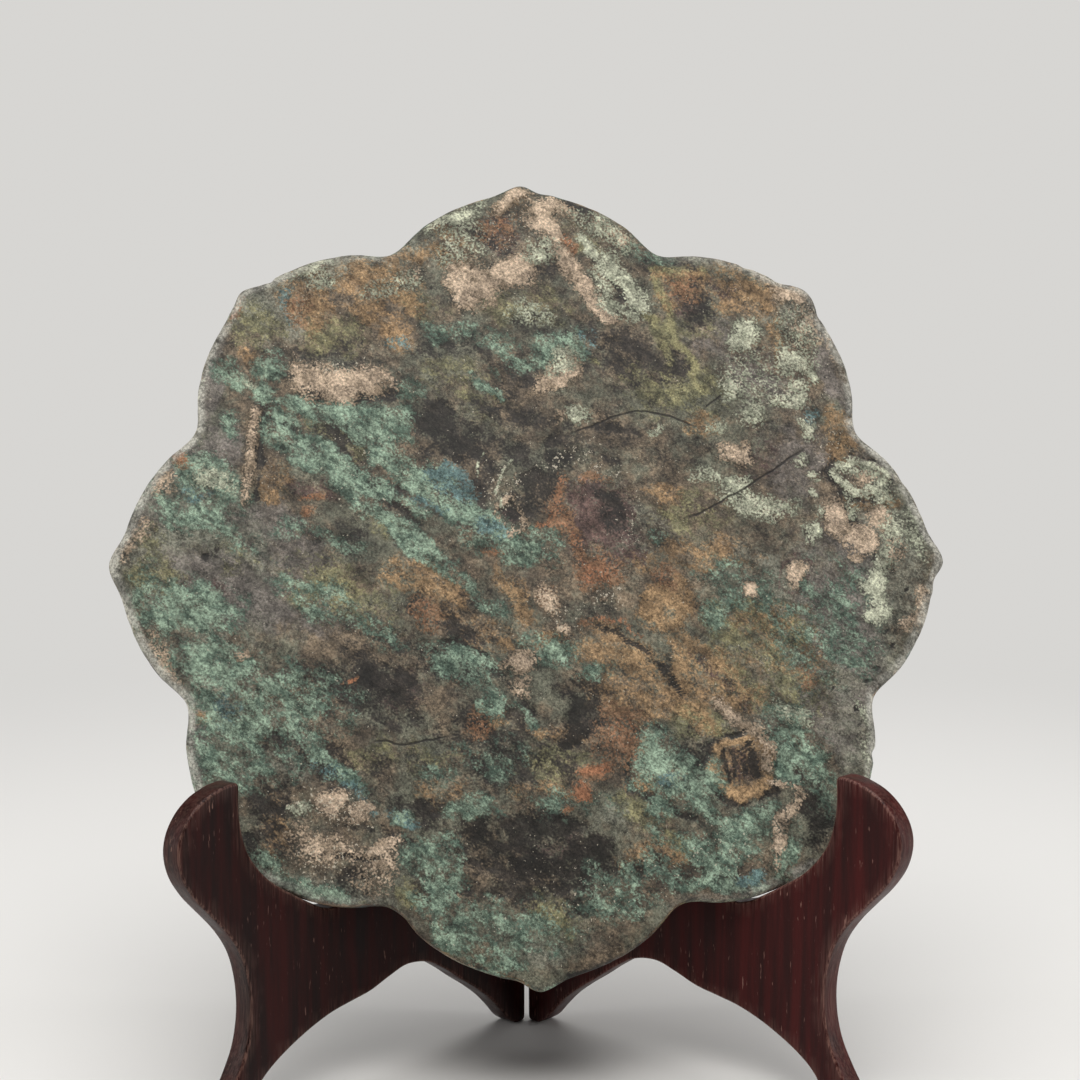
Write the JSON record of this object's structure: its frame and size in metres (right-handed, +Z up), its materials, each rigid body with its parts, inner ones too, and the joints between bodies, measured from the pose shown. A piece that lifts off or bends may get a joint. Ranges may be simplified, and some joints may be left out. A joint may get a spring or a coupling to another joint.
{
  "type": "ancient bronze mirror",
  "caption": "Ancient bronze mirror with a pointed petal outline and a plain patinated face, leaning on a folding hardwood display stand.",
  "frame": {"origin": "middle of the bounding box in plan, on the ground that the stand's feet touch", "axes": "+Z up; the mirror's polished face looks towards -Y and leans back; +X to the right as it is looked at"},
  "size_m": [0.26, 0.1222, 0.2763],
  "materials": {
    "bronze": "matte green and brown burial patina over cast tin bronze",
    "hardwood": "dark red-brown stain under gloss lacquer",
    "hinge_brass": "aged satin"
  },
  "bodies": {
    "root": {"mirror": "bronze", "stand_wing_left": "hardwood", "stand_wing_right": "hardwood", "hinge_lower_leaf_left": "hinge_brass", "hinge_lower_leaf_right": "hinge_brass", "hinge_lower_pin": "hinge_brass", "hinge_lower_screw_left_bottom": "hinge_brass", "hinge_lower_screw_left_top": "hinge_brass", "hinge_lower_screw_right_bottom": "hinge_brass", "hinge_lower_screw_right_top": "hinge_brass", "hinge_upper_leaf_left": "hinge_brass", "hinge_upper_leaf_right": "hinge_brass", "hinge_upper_pin": "hinge_brass", "hinge_upper_screw_left_bottom": "hinge_brass", "hinge_upper_screw_left_top": "hinge_brass", "hinge_upper_screw_right_bottom": "hinge_brass", "hinge_upper_screw_right_top": "hinge_brass"}
  },
  "joints": []
}
